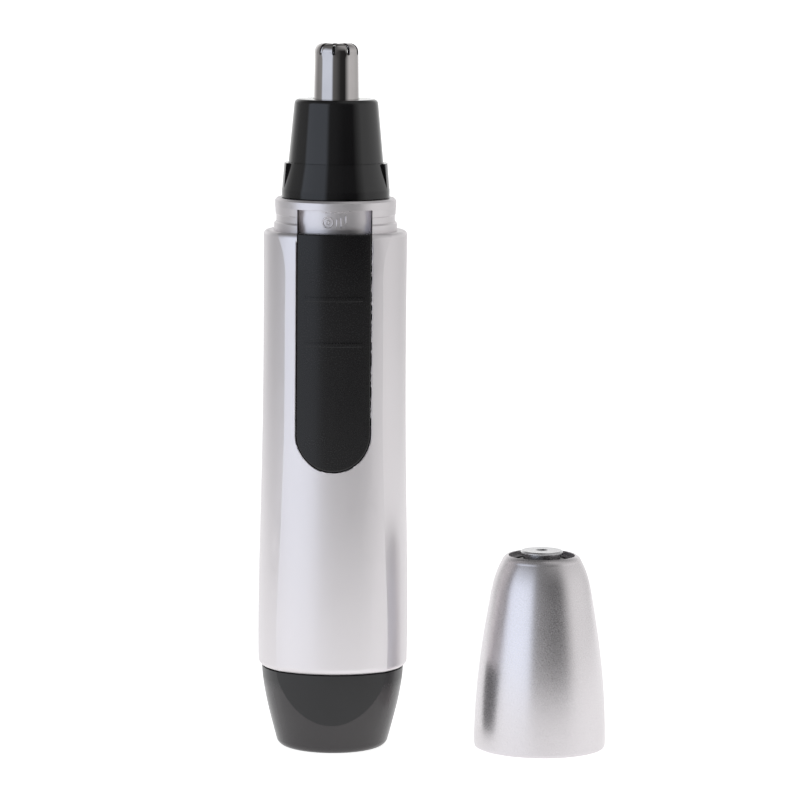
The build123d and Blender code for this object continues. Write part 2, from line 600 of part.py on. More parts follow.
with BuildPart() as head_collar:
    collar = [
        (HEAD_SPIGOT_BORE, HEAD_SPIGOT_BOTTOM),
        (HEAD_SPIGOT_RADIUS - 0.4, HEAD_SPIGOT_BOTTOM),
        (HEAD_SPIGOT_RADIUS, HEAD_SPIGOT_BOTTOM + 0.4),
        (HEAD_SPIGOT_RADIUS, HEAD_BOTTOM),
        (COLLAR_RADIUS_LOW, HEAD_BOTTOM),
        (COLLAR_RADIUS_LOW, HEAD_BOTTOM + 1.4),
        (COLLAR_RADIUS_HIGH, COLLAR_TOP),
        (COLLAR_BORE, COLLAR_TOP),
        (COLLAR_BORE, COLLAR_FLOOR_TOP),
        (HEAD_BUSH_RADIUS, COLLAR_FLOOR_TOP),
        (HEAD_BUSH_RADIUS, COLLAR_FLOOR_BOTTOM),
        (HEAD_SPIGOT_BORE, COLLAR_FLOOR_BOTTOM),
    ]
    revolve(profile(collar), axis=Axis.Z)
    for middle_angle in (0, 180):
        add(ring_sector(HEAD_SPIGOT_RADIUS - 0.5, HEAD_LUG_RADIUS, HEAD_LUG_HALF_ANGLE, HEAD_LUG_BOTTOM,
                        HEAD_LUG_TOP, middle_angle))
    # Grip tabs, which stand proud of the collar's taper.
    tab = [(8.2, TAB_BOTTOM), (COLLAR_RADIUS_LOW, TAB_BOTTOM), (TAB_RADIUS_HIGH, TAB_TOP), (8.2, TAB_TOP)]
    with BuildPart(mode=Mode.PRIVATE) as grip_tab:
        revolve(profile(tab), axis=Axis.Z, revolution_arc=2 * TAB_HALF_ANGLE)
    for middle_angle in (0, 180):
        add(grip_tab.part.moved(Location((0, 0, 0), (0, 0, middle_angle - TAB_HALF_ANGLE))))

with BuildPart() as head_cone:
    with BuildSketch(Plane.XZ):
        with BuildLine():
            rise = Line((CONE_RADIUS_LOW, CONE_BOTTOM), (CONE_RADIUS_HIGH + 0.1, CONE_TOP - 0.9))
            crown = ThreePointArc(rise @ 1, (7.72, 124.6), (7.1, CONE_TOP))
            Polyline(
                crown @ 1,
                (CUTTER_RADIUS_LOW + 0.1, CONE_TOP),
                (CUTTER_RADIUS_LOW + 0.1, CONE_LIP),
                (CONE_BORE, CONE_LIP),
                (CONE_BORE, CONE_SPIGOT_BOTTOM),
                (CONE_SPIGOT_RADIUS, CONE_SPIGOT_BOTTOM),
                (CONE_SPIGOT_RADIUS, CONE_BOTTOM),
                rise @ 0,
            )
        make_face()
    revolve(axis=Axis.Z)

with BuildPart() as outer_cutter:
    with BuildSketch(Plane.XZ):
        with BuildLine():
            tube = Polyline(
                (CUTTER_FLANGE, CUTTER_FLANGE_BOTTOM),
                (CUTTER_FLANGE, CUTTER_FLANGE_TOP),
                (CUTTER_RADIUS_LOW, CUTTER_FLANGE_TOP),
                (CUTTER_RADIUS_HIGH, CUTTER_CROWN),
            )
            crown = ThreePointArc(tube @ 1, (3.68, 134.93), (CUTTER_FLAT, CUTTER_TOP))
            under_top = CUTTER_TOP - CUTTER_WALL
            roof = Polyline(crown @ 1, (0, CUTTER_TOP), (0, under_top), (CUTTER_FLAT - 0.1, under_top))
            inner = ThreePointArc(roof @ 1, (3.4, 134.6), (3.8, CUTTER_CROWN - 0.1))
            Polyline(inner @ 1, (CUTTER_BORE, CUTTER_FLANGE_BOTTOM), tube @ 0)
        make_face()
    revolve(axis=Axis.Z)
    for index in range(CUTTER_SLOTS):
        turn = -90 + CUTTER_SLOT_TURN + 360 / CUTTER_SLOTS * index
        floor_radius = CUTTER_SLOT_WIDTH / 2
        low = CUTTER_TOP - CUTTER_SLOT_DEPTH + floor_radius
        with Locations(Location((0, 0, 0), (0, 0, turn))):
            with Locations((1.4, 0, low)):
                Box(4, CUTTER_SLOT_WIDTH, 4, align=(Align.MIN, Align.CENTER, Align.MIN), mode=Mode.SUBTRACT)
            with Locations(Location((3.4, 0, low), (0, 90, 0))):
                Cylinder(floor_radius, 4, mode=Mode.SUBTRACT)

with BuildPart() as head_bush:
    bush = [
        (BLADE_SHAFT_RADIUS + RUNNING_GAP, HEAD_BUSH_BOTTOM),
        (HEAD_BUSH_RADIUS, HEAD_BUSH_BOTTOM),
        (HEAD_BUSH_RADIUS, COLLAR_FLOOR_TOP),
        (HEAD_BUSH_FLANGE, COLLAR_FLOOR_TOP),
        (HEAD_BUSH_FLANGE, HEAD_BUSH_TOP),
        (BLADE_SHAFT_RADIUS + RUNNING_GAP, HEAD_BUSH_TOP),
    ]
    revolve(profile(bush), axis=Axis.Z)

with BuildPart() as blade_shaft:
    post(BLADE_SHAFT_RADIUS, 99.9, BLADE_HUB_TOP)
    post(3.0, 119.0, 120.0)
    block((-TONGUE_WIDE / 2, -TONGUE_THICK / 2, 96.4), (TONGUE_WIDE / 2, TONGUE_THICK / 2, 100.2))

with BuildPart() as inner_cutter:
    post(2.0, BLADE_BOTTOM, BLADE_TOP + 0.02)
    for turn in (0, 60, 120):
        with Locations(Location((0, 0, 130.1), (0, 0, turn))):
            Box(7.3, 0.7, 6.2)
    post(3.6, BLADE_BOTTOM, BLADE_BOTTOM + 1.2)
    # Corner of the blades follows the rounded crown of the outer cutter.
    with BuildSketch(Plane.XZ):
        with BuildLine():
            side = Line((3.7, BLADE_BOTTOM - 1), (3.7, 133.5))
            corner = ThreePointArc(side @ 1, (3.3, 134.45), (2.4, BLADE_TOP))
            Polyline(corner @ 1, (0, BLADE_TOP), (0, BLADE_BOTTOM - 1), side @ 0)
        make_face()
    revolve(axis=Axis.Z, mode=Mode.INTERSECT)
    post(BLADE_SHAFT_RADIUS, BLADE_BOTTOM - 1, BLADE_HUB_TOP, Mode.SUBTRACT)


def coil(wire, radius, bottom, top, turns, cone_angle=0.0):
    """Round-wire spring about the handle's axis."""
    with BuildPart(mode=Mode.PRIVATE) as spring:
        with BuildLine() as path:
            Helix((top - bottom) / turns, top - bottom, radius, center=(0, 0, bottom), cone_angle=cone_angle)
        with BuildSketch(Plane(path.line @ 0, z_dir=path.line % 0)):
            Circle(wire / 2)
        sweep()
    return spring.part


with BuildPart() as blade_spring:
    add(coil(0.45, 2.1, 109.6, 118.6, 6))

# ==== Battery cap ====================================================================================

with BuildPart() as battery_cap:
    with BuildSketch(Plane.XZ):
        with BuildLine():
            taper = Spline((10.75, 1.2), (11.8, 5.1), (12.9, 9.8), (13.45, 13.2), (13.65, BATTERY_CAP_TOP))
            foot = ThreePointArc((8.9, 0), (10.1, 0.32), taper @ 0)
            Polyline(foot @ 0, (0, 0), (0, BATTERY_CAP_TOP), taper @ 1)
        make_face()
    revolve(axis=Axis.Z)
    for side in (-1, 1):
        with BuildSketch(Plane.XZ.offset(side * FACE_AXIS)) as facet:
            with BuildLine():
                wall = Spline(
                    (11.2 + FACE_AXIS, -1.0),
                    (11.98 + FACE_AXIS, 5.8),
                    (12.22 + FACE_AXIS, 8.2),
                    (12.62 + FACE_AXIS, BATTERY_CAP_TOP + 1.0),
                )
                Polyline(wall @ 0, (0, -1.0), (0, BATTERY_CAP_TOP + 1.0), wall @ 1)
            make_face()
        revolve(facet.sketch, axis=face_axis(side), mode=Mode.INTERSECT)
    post(CAP_SPIGOT_RADIUS, BATTERY_CAP_TOP - 1, CAP_SPIGOT_TOP)
    seal_seat = tube_profile(SEAL_SEAT_RADIUS, 12.0, SEAL_SEAT_BOTTOM, SEAL_SEAT_TOP)
    revolve(seal_seat, axis=Axis.Z, mode=Mode.SUBTRACT)
    for middle_angle in (0, 180):
        add(ring_sector(CAP_SPIGOT_RADIUS - 0.5, CAP_LUG_RADIUS, CAP_LUG_HALF_ANGLE, CAP_LUG_BOTTOM,
                        CAP_LUG_TOP, middle_angle))
    post(CAP_BORE, CAP_FLOOR, CAP_SPIGOT_TOP + 1, Mode.SUBTRACT)

with BuildPart() as cap_contact:
    contact = [
        (0, CAP_FLOOR),
        (CAP_BORE, CAP_FLOOR),
        (CAP_BORE, CAP_SPIGOT_TOP),
        (10.5, CAP_SPIGOT_TOP),
        (10.5, CAP_SPIGOT_TOP + STRIP),
        (CAP_BORE - STRIP, CAP_SPIGOT_TOP + STRIP),
        (CAP_BORE - STRIP, CAP_FLOOR + STRIP),
        (0, CAP_FLOOR + STRIP),
    ]
    revolve(profile(contact), axis=Axis.Z)

with BuildPart() as battery_spring:
    add(coil(0.6, 5.2, CAP_FLOOR + STRIP + 0.32, CELL_BOTTOM - 0.34, 3, -35))

with BuildPart() as battery_cap_seal:
    with BuildSketch(Plane.XZ):
        with Locations((SEAL_SEAT_RADIUS + 0.5, (SEAL_SEAT_BOTTOM + SEAL_SEAT_TOP) / 2)):
            Circle(0.46)
    revolve(axis=Axis.Z)

# ==== Dust cap ========================================================================================

# Radius and height along the dust cap's side.
DOME = ((12.6, 6.4), (12.04, 14.3), (11.02, 22.3), (10.04, 28.3), (9.02, 33.1), (7.7, 36.28))

with BuildPart() as cap_shell:
    with BuildSketch(Plane.XZ):
        with BuildLine():
            outer = Spline((DUST_CAP_RADIUS, 0.5), *DOME)
            crown_middle = (7.1, DUST_CAP_TOP - 0.25)
            crown = ThreePointArc(outer @ 1, crown_middle, (DUST_CAP_OPENING + 0.2, DUST_CAP_TOP))
            # The inside follows the dome one wall in, a little lower towards the top.
            inner_dome = [(r - DUST_CAP_WALL, z - DUST_CAP_WALL * (z / DUST_CAP_TOP) ** 3) for r, z in DOME]
            inner = Spline((DUST_CAP_MOUTH, DUST_CAP_MOUTH_DEPTH), *inner_dome)
            Polyline(
                outer @ 0,
                (DUST_CAP_RADIUS - 0.15, 0),
                (DUST_CAP_MOUTH + 0.1, 0),
                (DUST_CAP_MOUTH, 0.3),
                inner @ 0,
            )
            Polyline(
                crown @ 1,
                (DUST_CAP_OPENING, DUST_CAP_TOP - 0.1),
                (DUST_CAP_OPENING, DUST_CAP_TOP - 2.1),
                inner @ 1,
            )
        make_face()
    revolve(axis=Axis.Z)

with BuildPart() as cap_plug:
    plug = [
        (0, PLUG_WEB),
        (PLUG_RECESS_RADIUS, PLUG_WEB),
        (PLUG_RECESS_RADIUS, PLUG_BOTTOM),
        (DUST_CAP_OPENING - PLUG_GAP, PLUG_BOTTOM),
        (DUST_CAP_OPENING - PLUG_GAP, PLUG_TOP - 0.1),
        (DUST_CAP_OPENING - 0.9, PLUG_TOP - 0.1),
        (DUST_CAP_OPENING - 0.9, PLUG_TOP - 0.6),
        (4.4, PLUG_TOP - 0.6),
        (4.4, PLUG_TOP),
        (0, PLUG_TOP),
    ]
    revolve(profile(plug), axis=Axis.Z)

with BuildPart() as cap_button:
    with BuildSketch(Plane.XZ):
        with BuildLine():
            stud = Polyline((0, PLUG_TOP), (3.6, PLUG_TOP), (3.6, BUTTON_TOP - 0.5), (4.1, BUTTON_TOP - 0.45))
            rim = Polyline(stud @ 1, (4.1, BUTTON_TOP - 0.25), (3.85, BUTTON_TOP), (1.25, BUTTON_TOP))
            dimple = ThreePointArc(rim @ 1, (0.95, BUTTON_TOP - 0.2), (0.5, BUTTON_DIMPLE))
            Polyline(dimple @ 1, (0, BUTTON_DIMPLE), stud @ 0)
        make_face()
    revolve(axis=Axis.Z)

dust_cap_place = Location((DUST_CAP_X, 0, 0))
for piece in (cap_shell, cap_plug, cap_button):
    piece.part.locate(dust_cap_place)

# ==== Files ============================================================================================

PIECES = {
    "body_shell": body_shell,
    "chassis_front": chassis_front,
    "chassis_rear": chassis_rear,
    "chassis_screws": chassis_screws,
    "battery_cell": battery_cell,
    "cell_sleeve": cell_sleeve,
    "positive_strip": positive_strip,
    "motor_strip": motor_strip,
    "negative_strip": negative_strip,
    "motor_can": motor_can,
    "motor_end_cap": motor_end_cap,
    "motor_terminals": motor_terminals,
    "motor_brushes": motor_brushes,
    "motor_bushes": motor_bushes,
    "motor_magnets": motor_magnets,
    "motor_shaft": motor_shaft,
    "armature_core": armature_core,
    "armature_windings": armature_windings,
    "commutator": commutator,
    "drive_fork": drive_fork,
    "switch_cover": switch_cover,
    "switch_slider": switch_slider,
    "switch_leaf": switch_leaf,
    "head_collar": head_collar,
    "head_cone": head_cone,
    "outer_cutter": outer_cutter,
    "head_bush": head_bush,
    "blade_shaft": blade_shaft,
    "inner_cutter": inner_cutter,
    "blade_spring": blade_spring,
    "battery_cap": battery_cap,
    "cap_contact": cap_contact,
    "battery_spring": battery_spring,
    "battery_cap_seal": battery_cap_seal,
    "cap_shell": cap_shell,
    "cap_plug": cap_plug,
    "cap_button": cap_button,
}

os.makedirs("parts", exist_ok=True)
for piece_name, piece in PIECES.items():
    piece.part.label = piece_name
    export_step(piece.part, f"parts/{piece_name}.step")
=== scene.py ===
import json
import random
from math import cos, hypot, pi, radians, sin

import bpy
from mathutils import Matrix, Vector
from mathutils.bvhtree import BVHTree


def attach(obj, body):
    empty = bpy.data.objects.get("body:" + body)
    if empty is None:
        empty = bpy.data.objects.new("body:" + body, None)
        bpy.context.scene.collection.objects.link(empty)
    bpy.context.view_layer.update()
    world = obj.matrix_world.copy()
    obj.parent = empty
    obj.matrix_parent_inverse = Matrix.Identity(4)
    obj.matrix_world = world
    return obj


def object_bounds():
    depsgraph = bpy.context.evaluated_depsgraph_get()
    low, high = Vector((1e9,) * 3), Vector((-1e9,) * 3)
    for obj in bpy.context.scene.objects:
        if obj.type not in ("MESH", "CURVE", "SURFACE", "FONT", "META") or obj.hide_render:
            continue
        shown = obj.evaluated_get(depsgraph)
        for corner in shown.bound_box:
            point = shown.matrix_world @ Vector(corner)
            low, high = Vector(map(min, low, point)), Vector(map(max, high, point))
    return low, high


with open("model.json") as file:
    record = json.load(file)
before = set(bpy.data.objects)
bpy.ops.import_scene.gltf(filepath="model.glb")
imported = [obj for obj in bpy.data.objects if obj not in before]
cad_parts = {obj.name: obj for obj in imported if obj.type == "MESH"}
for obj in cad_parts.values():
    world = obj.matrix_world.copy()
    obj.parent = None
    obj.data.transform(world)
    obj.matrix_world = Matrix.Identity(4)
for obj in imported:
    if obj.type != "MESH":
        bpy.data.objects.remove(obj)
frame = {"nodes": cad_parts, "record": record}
cad_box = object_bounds()

MM = 0.001
SCENE = bpy.context.scene
PHOTO_SIDE = 800


# ---- Node helpers ------------------------------------------------------------------------------

def new_material(name):
    """Empty node material with its output and a Principled shader."""
    material = bpy.data.materials.new(name)
    material.use_nodes = True
    tree = material.node_tree
    tree.nodes.clear()
    output = tree.nodes.new("ShaderNodeOutputMaterial")
    shader = tree.nodes.new("ShaderNodeBsdfPrincipled")
    tree.links.new(shader.outputs["BSDF"], output.inputs["Surface"])
    return material, tree, shader


def noise(tree, scale, detail=3.0, stretch=(1, 1, 1), roughness=0.55):
    """Noise in object space, stretched along the axes."""
    coords = tree.nodes.new("ShaderNodeTexCoord")
    mapping = tree.nodes.new("ShaderNodeMapping")
    mapping.inputs["Scale"].default_value = stretch
    tree.links.new(coords.outputs["Object"], mapping.inputs["Vector"])
    texture = tree.nodes.new("ShaderNodeTexNoise")
    texture.inputs["Scale"].default_value = scale
    texture.inputs["Detail"].default_value = detail
    texture.inputs["Roughness"].default_value = roughness
    tree.links.new(mapping.outputs["Vector"], texture.inputs["Vector"])
    return texture.outputs["Fac"]


def ramp(tree, value, stops):
    """Colour ramp over a value; each stop is (position, grey or colour)."""
    node = tree.nodes.new("ShaderNodeValToRGB")
    elements = node.color_ramp.elements
    while len(elements) < len(stops):
        elements.new(0.5)
    for element, (position, colour) in zip(elements, stops):
        element.position = position
        if isinstance(colour, (int, float)):
            colour = (colour, colour, colour)
        element.color = (*colour, 1.0)
    tree.links.new(value, node.inputs["Fac"])
    return node.outputs["Color"]


def bump(tree, shader, height, strength, distance):
    """Adds a small relief to the shader's normal."""
    node = tree.nodes.new("ShaderNodeBump")
    node.inputs["Strength"].default_value = strength
    node.inputs["Distance"].default_value = distance
    tree.links.new(height, node.inputs["Height"])
    tree.links.new(node.outputs["Normal"], shader.inputs["Normal"])


def finish_material(name, colour, metallic, roughness, grain=900.0, relief=0.02, **sockets):
    """Material with its colour and roughness gently varied, and a fine relief."""
    spread, tint = 0.04, 0.06
    material, tree, shader = new_material(name)
    shader.inputs["Metallic"].default_value = metallic
    for socket, value in sockets.items():
        shader.inputs[socket.replace("_", " ")].default_value = value
    broad = noise(tree, 60.0, 2.0)
    low = tuple(c * (1 - tint) for c in colour)
    high = tuple(min(1.0, c * (1 + tint)) for c in colour)
    tree.links.new(ramp(tree, broad, ((0.3, low), (0.7, high))), shader.inputs["Base Color"])
    fine = noise(tree, grain, 2.0)
    tree.links.new(ramp(tree, fine, ((0.3, roughness - spread), (0.7, roughness + spread))),
                   shader.inputs["Roughness"])
    bump(tree, shader, fine, relief, 0.00005)
    return material


# ---- Materials ---------------------------------------------------------------------------------

def silver_paint(name, shade, roughness):
    """Satin silver paint: soft metallic body with a fine flake and slight orange peel."""
    material, tree, shader = new_material(name)
    shader.inputs["Metallic"].default_value = 0.88
    broad = noise(tree, 45.0, 2.0, stretch=(1, 1, 0.35))
    darker = (shade - 0.03, shade - 0.06, shade - 0.045)
    lighter = (shade + 0.03, shade, shade + 0.015)
    paint = ramp(tree, broad, ((0.3, darker), (0.7, lighter)))
    tree.links.new(paint, shader.inputs["Base Color"])
    flake = noise(tree, 7000.0, 1.0)
    spread = ((0.25, roughness - 0.05), (0.75, roughness + 0.05))
    tree.links.new(ramp(tree, flake, spread), shader.inputs["Roughness"])
    bump(tree, shader, flake, 0.06, 0.00004)
    return material


def gloss_black():
    """Glossy black moulding with faint flow variation and micro scratches."""
    material, tree, shader = new_material("gloss_black")
    shader.inputs["Specular IOR Level"].default_value = 0.5
    broad = noise(tree, 70.0, 2.0)
    tree.links.new(ramp(tree, broad, ((0.3, (0.009, 0.0085, 0.009)), (0.7, (0.012, 0.0115, 0.012)))),
                   shader.inputs["Base Color"])
    scratches = noise(tree, 900.0, 3.0, stretch=(1, 1, 0.15))
    tree.links.new(ramp(tree, scratches, ((0.3, 0.07), (0.75, 0.12))), shader.inputs["Roughness"])
    bump(tree, shader, scratches, 0.015, 0.00002)
    return material


def satin_black():
    """Black moulding: spark-eroded on its upright faces and smoother where it tapers in underneath; the faces
    that taper in are also painted paler, a painted sheen for the bright reflection they catch.
    """
    material, tree, shader = new_material("satin_black")
    coords = tree.nodes.new("ShaderNodeTexCoord")
    split = tree.nodes.new("ShaderNodeSeparateXYZ")
    tree.links.new(coords.outputs["Normal"], split.inputs["Vector"])
    taper = tree.nodes.new("ShaderNodeMapRange")
    taper.inputs["From Min"].default_value = -0.10
    taper.inputs["From Max"].default_value = -0.16
    tree.links.new(split.outputs["Z"], taper.inputs["Value"])
    texture = noise(tree, 5000.0, 2.0)
    upright = ((0.011, 0.0105, 0.0115), (0.016, 0.0155, 0.0165))
    # Painted sheen: the faces that taper in underneath get a paler base colour in place of the brighter
    # reflection they catch; their lower roughness is the real smoother finish.
    tapered_painted_sheen = ((0.040, 0.036, 0.037), (0.050, 0.045, 0.046))
    roughness = ((0.28, 0.36), (0.17, 0.23))
    mixes = (("Base Color", noise(tree, 60.0, 2.0), (upright, tapered_painted_sheen)), ("Roughness", texture, roughness))
    for socket, field, pairs in mixes:
        blend = tree.nodes.new("ShaderNodeMix")
        blend.data_type = "RGBA"
        tree.links.new(taper.outputs["Result"], blend.inputs["Factor"])
        for side, (low, high) in zip(("A", "B"), pairs):
            # A Mix node has one A and one B for each data type; the colour ones are looked up by type.
            target = next(item for item in blend.inputs if item.name == side and item.type == "RGBA")
            tree.links.new(ramp(tree, field, ((0.3, low), (0.7, high))), target)
        result = next(item for item in blend.outputs if item.type == "RGBA")
        tree.links.new(result, shader.inputs[socket])
    bump(tree, shader, texture, 0.05, 0.00003)
    return material


def polished_steel():
    """Stainless steel drawn and polished, with faint lines round the tube."""
    material, tree, shader = new_material("polished_steel")
    shader.inputs["Metallic"].default_value = 1.0
    broad = noise(tree, 120.0, 2.0)
    tree.links.new(ramp(tree, broad, ((0.3, (0.46, 0.44, 0.435)), (0.7, (0.52, 0.495, 0.49)))),
                   shader.inputs["Base Color"])
    lines = noise(tree, 1500.0, 3.0, stretch=(0.2, 0.2, 3.0))
    tree.links.new(ramp(tree, lines, ((0.3, 0.035), (0.7, 0.07))), shader.inputs["Roughness"])
    bump(tree, shader, lines, 0.01, 0.00001)
    return material


SLOT_MATERIALS = {
    "silver_plastic": silver_paint("satin_silver", 0.765, 0.36),
    "cap_silver": silver_paint("cap_silver", 0.725, 0.28),
    "gloss_black": gloss_black(),
    "satin_black": satin_black(),
    "stainless_steel": polished_steel(),
    "switch_black": finish_material(
        "switch_black", (0.010, 0.0095, 0.010), 0.0, 0.26, grain=4000.0, relief=0.015, Specular_IOR_Level=0.36
    ),
    "button_metal": finish_material("turned_metal", (0.60, 0.60, 0.61), 1.0, 0.28, grain=2500.0),
    "black_frame": finish_material("black_frame", (0.03, 0.03, 0.03), 0.0, 0.5, grain=3000.0),
    "white_nylon": finish_material("white_nylon", (0.74, 0.73, 0.68), 0.0, 0.45, grain=2000.0),
    "cell_steel": finish_material("cell_steel", (0.62, 0.61, 0.58), 1.0, 0.25, grain=2500.0),
    "cell_sleeve": finish_material("cell_sleeve", (0.05, 0.13, 0.24), 0.0, 0.25, grain=1200.0),
    "contact_nickel": finish_material("contact_nickel", (0.66, 0.62, 0.54), 1.0, 0.25, grain=2500.0),
    "motor_steel": finish_material("motor_steel", (0.50, 0.50, 0.51), 1.0, 0.32, grain=2500.0),
    "screw_steel": finish_material("screw_steel", (0.56, 0.55, 0.54), 1.0, 0.25, grain=3000.0),
    "blade_steel": finish_material("blade_steel", (0.56, 0.56, 0.56), 1.0, 0.2, grain=4000.0),
    "spring_steel": finish_material("spring_steel", (0.52, 0.52, 0.53), 1.0, 0.25, grain=3000.0),
    "brass": finish_material("brass_sheet", (0.74, 0.52, 0.22), 1.0, 0.25, grain=2500.0),
    "bush_bronze": finish_material("bush_bronze", (0.50, 0.36, 0.20), 1.0, 0.45, grain=5000.0, relief=0.1),
    "copper_wire": finish_material("copper_wire", (0.72, 0.30, 0.12), 1.0, 0.3, grain=6000.0, relief=0.1),
    "ferrite": finish_material("ferrite", (0.05, 0.05, 0.055), 0.0, 0.6, grain=5000.0, relief=0.1),
    "seal_rubber": finish_material("seal_rubber", (0.015, 0.015, 0.015), 0.0, 0.55, grain=3000.0),
}


# Nodes whose finish differs from the rest of their slot: the thumb switch is matt from handling, and the
# dust cap is smoother.
NODE_FINISHES = {"switch_cover": "switch_black", "cap_shell": "cap_silver"}


def dress_cad_nodes():
    """Gives every CAD node the material of its slot."""
    for row in frame["record"]["subparts"]:
        node = frame["nodes"][row["node"]]
        finish = NODE_FINISHES.get(row["node"], row["material_slot"])
        node.data.materials.clear()
        node.data.materials.append(SLOT_MATERIALS[finish])


# ---- Fine details on the handle ------------------------------------------------------------------

def surface_of(node_name):
    """Function giving the front surface point and its outward direction at a place (x, z) in metres."""
    node = frame["nodes"][node_name]
    bpy.context.view_layer.update()
    vertices = [node.matrix_world @ vertex.co for vertex in node.data.vertices]
    tree = BVHTree.FromPolygons(vertices, [tuple(face.vertices) for face in node.data.polygons])

    def find(x, z):
        place, outward, _, _ = tree.ray_cast(Vector((x, -1.0, z)), Vector((0.0, 1.0, 0.0)))
        return place, outward if outward.y < 0 else -outward

    return find


def raised_line(name, find, path, slot, body="handle", closed=False, sides=6):
    """Rounded ridge laid on a body along a path of (x, z, half width, height), in millimetres."""
    vertices, faces = [], []
    count = len(path)
    for index, (x, z, half_width, height) in enumerate(path):
        before = path[index - 1] if closed or index else path[0]
        after = path[(index + 1) % count] if closed or index < count - 1 else path[-1]
        run, rise = after[0] - before[0], after[1] - before[1]
        length = hypot(run, rise)
        across = Vector((rise / length, 0.0, -run / length))
        place, outward = find(x * MM, z * MM)
        across = (across - across.dot(outward) * outward).normalized()
        for side in range(sides):
            turn = 2 * pi * side / sides
            offset = across * half_width * cos(turn) + outward * height * sin(turn)
            vertices.append(place + offset * MM)
    spans = count if closed else count - 1
    for index in range(spans):
        first, second = index * sides, (index + 1) % count * sides
        for side in range(sides):
            after = (side + 1) % sides
            faces.append((first + side, second + side, second + after, first + after))
    if not closed:
        faces.append(tuple(range(sides)))
        faces.append(tuple(reversed(range((count - 1) * sides, count * sides))))
    mesh = bpy.data.meshes.new(name)
    mesh.from_pydata(vertices, [], faces)
    mesh.materials.append(SLOT_MATERIALS[slot])
    mesh.shade_smooth()
    piece = bpy.data.objects.new(name, mesh)
    SCENE.collection.objects.link(piece)
    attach(piece, body)


def straight(start, end, half_width, height, steps=8):
    """Straight path from start to end, each an (x, z) pair in millimetres."""
    return [
        (start[0] + (end[0] - start[0]) * step / steps, start[1] + (end[1] - start[1]) * step / steps,
         half_width, height)
        for step in range(steps + 1)
    ]


def uneven(path, rng):
    """The same path with its width and height varied from point to point, as on a worn edge."""
    return [
        (x + rng.uniform(-0.03, 0.03), z, half_width * rng.uniform(0.3, 1.3), height * rng.uniform(0.2, 1.5))
        for x, z, half_width, height in path
    ]


# Land above the switch, in millimetres: its bottom and top, the window's half width, and the ring's centre.
LAND_BOTTOM, LAND_TOP = 100.0, 104.25
WINDOW_SIDE = 7.1
MARK_HEIGHT = 102.05
MARK_CENTRE = -1.3
# Centre of the window's rounded bottom end, and the lower edges of the switch's ribs.
WINDOW_ARC_CENTRE = 61.85
RIB_EDGES = (78.75, 87.35)


def mark_land():
    """Plain moulded ring and bars on the land, with small sprue marks along its top edge, and thin black
    strips at its sides as painted shadow in the gap to the window wall.
    """
    find = surface_of("body_shell")
    turns = 28
    for name, radius in (("land_ring", 0.95), ("land_dot", 0.28)):
        angles = [2 * pi * turn / turns for turn in range(turns)]
        ring = [
            (MARK_CENTRE + radius * cos(angle), MARK_HEIGHT + radius * sin(angle), 0.16, 0.17)
            for angle in angles
        ]
        raised_line(name, find, ring, "silver_plastic", closed=True)
    bars = (((0.45, 101.2), (0.45, 102.7)), ((1.25, 101.2), (1.25, 103.0)), ((2.1, 101.9), (2.1, 103.3)))
    for index, (start, end) in enumerate(bars):
        raised_line(f"land_bar_{index + 1}", find, straight(start, end, 0.19, 0.17), "silver_plastic")
    rng = random.Random(7)
    for index in range(9):
        middle = -2.2 + index * 0.72 + rng.uniform(-0.2, 0.2)
        half = rng.uniform(0.1, 0.28)
        height = LAND_TOP - rng.uniform(0.12, 0.4)
        speck = straight((middle - half, height), (middle + half, height), 0.14, 0.1, 3)
        raised_line(f"land_speck_{index + 1}", find, uneven(speck, rng), "silver_plastic")
    # Painted shadow: thin black strips along the land's sides stand in for the shade in the gap between the
    # land and the window wall.
    for side, name in ((-1, "land_painted_gap_shadow_left"), (1, "land_painted_gap_shadow_right")):
        x = side * (WINDOW_SIDE - 0.14)
        raised_line(name, find, straight((x, LAND_BOTTOM), (x, LAND_TOP), 0.11, 0.03, 4), "gloss_black")


def wear_window():
    """Uneven bright burr along the right of the switch window, where the thumb has worn the paint."""
    find = surface_of("body_shell")
    rng = random.Random(11)
    runs = ((98.6, 92.0), (91.2, 86.5), (85.6, 84.9), (83.8, 79.5), (78.0, 77.4), (75.0, 71.0), (69.0, 65.0))
    for index, (top, bottom) in enumerate(runs):
        x = WINDOW_SIDE + 0.04
        steps = max(3, round((top - bottom) / 0.3))
        burr = straight((x, top), (x, bottom), 0.11, 0.13, steps)
        raised_line(f"window_burr_{index + 1}", find, uneven(burr, rng), "silver_plastic")
    for index, (first, last) in enumerate(((-165, -118), (-108, -70), (-58, -12))):
        reach = WINDOW_SIDE + 0.1
        arc = [
            (reach * cos(radians(angle)), WINDOW_ARC_CENTRE + reach * sin(radians(angle)), 0.1, 0.12)
            for angle in range(first, last + 1, 3)
        ]
        raised_line(f"window_rim_{index + 1}", find, uneven(arc, rng), "silver_plastic")


def edge_ribs():
    """Polished lower edges of the two thumb ribs on the switch."""
    find = surface_of("switch_cover")
    for index, height in enumerate(RIB_EDGES):
        edge = straight((-5.4, height), (5.4, height), 0.1, 0.1, 24)
        raised_line(f"switch_rib_edge_{index + 1}", find, edge, "gloss_black", body="switch")


# ---- Stage ---------------------------------------------------------------------------------------

# Front lamp: brighter than the tent and a little bluer.
LAMP = (1.08, 1.17, 1.34)
# Brightness of the surround by azimuth in degrees: 0 is in front of the object, 90 to its right.
LOW_BAND = (
    (-180, 1.15), (-148, 1.15), (-130, 0.62), (-112, 0.38), (-82, 0.42), (-76, LAMP), (-25, LAMP),
    (-16, 0.20), (0, 0.15), (22, 0.04), (45, 0.03), (70, 0.90), (105, 0.86), (135, 0.74), (165, 1.10),
    (180, 1.15),
)
HIGH_BAND = ((-180, 0.05), (-90, 0.22), (0, 0.18), (90, 0.60), (180, 0.05))
